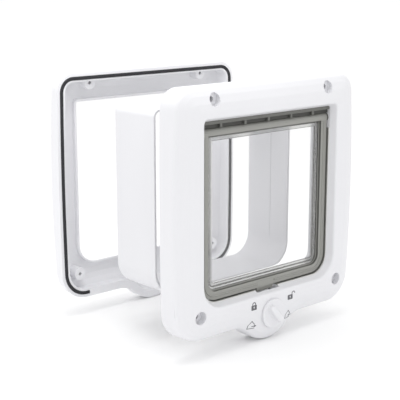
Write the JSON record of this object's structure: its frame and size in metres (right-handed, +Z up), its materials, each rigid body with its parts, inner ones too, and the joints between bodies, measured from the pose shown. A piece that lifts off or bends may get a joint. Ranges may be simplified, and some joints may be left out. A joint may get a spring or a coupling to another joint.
{
  "type": "cat flap",
  "caption": "Four-way cat flap: clear hinged flap in a white bezel with a rotary lock knob, a wall tunnel and an outside frame with a black gasket, drawn apart along the passage.",
  "frame": {"origin": "on the passage axis, on the room face of the door, where the room-side frame's back rim lies", "axes": "+X to the right seen from the room, +Y out of the house along the passage, +Z up"},
  "size_m": [0.235, 0.2092, 0.2475],
  "materials": {
    "white_plastic": "satin moulded",
    "grey_plastic": "satin moulded",
    "clear_plastic": "clear polished",
    "grey_rubber": "soft matt",
    "black_rubber": "soft matt",
    "steel": "plain",
    "magnet": "dull"
  },
  "bodies": {
    "inner_frame_body": {"interior_frame": "white_plastic", "hinge_rail": "grey_plastic", "axle_bush_left": "grey_plastic", "axle_bush_right": "grey_plastic", "draught_seal": "grey_rubber", "lock_back_plate": "white_plastic", "lock_plate_screws": "steel", "detent_spring": "steel", "sill_magnets": "magnet"},
    "flap_body": {"flap_rim": "grey_plastic", "flap_panel": "clear_plastic", "hinge_axle": "steel", "flap_magnets": "magnet"},
    "lock_body": {"lock_knob": "white_plastic", "front_stop": "white_plastic", "lock_drum": "white_plastic", "rear_stop": "white_plastic", "knob_washer": "steel", "knob_screw": "steel"},
    "tunnel_body": {"tunnel": "white_plastic"},
    "outer_frame_body": {"exterior_frame": "white_plastic", "weather_seal": "black_rubber"}
  },
  "joints": [
    {"name": "flap_swing", "type": "hinge", "parent": "inner_frame_body", "child": "flap_body", "pos_m": [0, -0.0115, 0.0723], "axis": [1, 0, 0], "range_deg": [-85, 85]},
    {"name": "lock_turn", "type": "hinge", "parent": "inner_frame_body", "child": "lock_body", "pos_m": [0, -0.0225, -0.1064], "axis": [0, -1, 0], "range_deg": [0, 270]},
    {"name": "tunnel_slide", "type": "slide", "parent": "inner_frame_body", "child": "tunnel_body", "axis": [0, -1, 0], "range_m": [0, 0.045]},
    {"name": "outer_slide", "type": "slide", "parent": "tunnel_body", "child": "outer_frame_body", "axis": [0, -1, 0], "range_m": [0, 0.073]}
  ]
}
